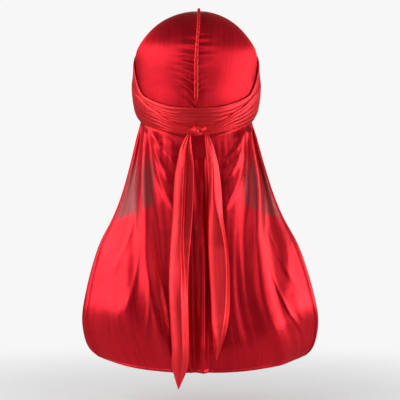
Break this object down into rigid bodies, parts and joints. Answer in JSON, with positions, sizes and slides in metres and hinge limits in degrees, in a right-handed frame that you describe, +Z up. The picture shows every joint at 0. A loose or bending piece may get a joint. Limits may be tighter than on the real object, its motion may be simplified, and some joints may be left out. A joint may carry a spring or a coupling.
{
  "type": "durag",
  "caption": "Satin durag as worn: two crown panels with a raised centre seam, ties wrapped round the head and knotted at the nape, and a long folded cape behind.",
  "frame": {"origin": "middle of the wearer's head, level with its widest girth, which is where the durag is held", "axes": "+X to the wearer's right, +Y to the wearer's front, +Z up along the head"},
  "size_m": [0.3075, 0.216, 0.4923],
  "materials": {
    "satin": "glossy red satin, slightly sheer in a single layer",
    "satin_seam": "red satin, turned and stitched"
  },
  "bodies": {
    "root": {"crown_left": "satin", "crown_right": "satin", "centre_seam": "satin_seam", "cape": "satin", "tie_first_turn": "satin", "tie_left": "satin", "tie_right": "satin", "knot": "satin", "tail_left": "satin", "tail_right": "satin"}
  },
  "joints": []
}
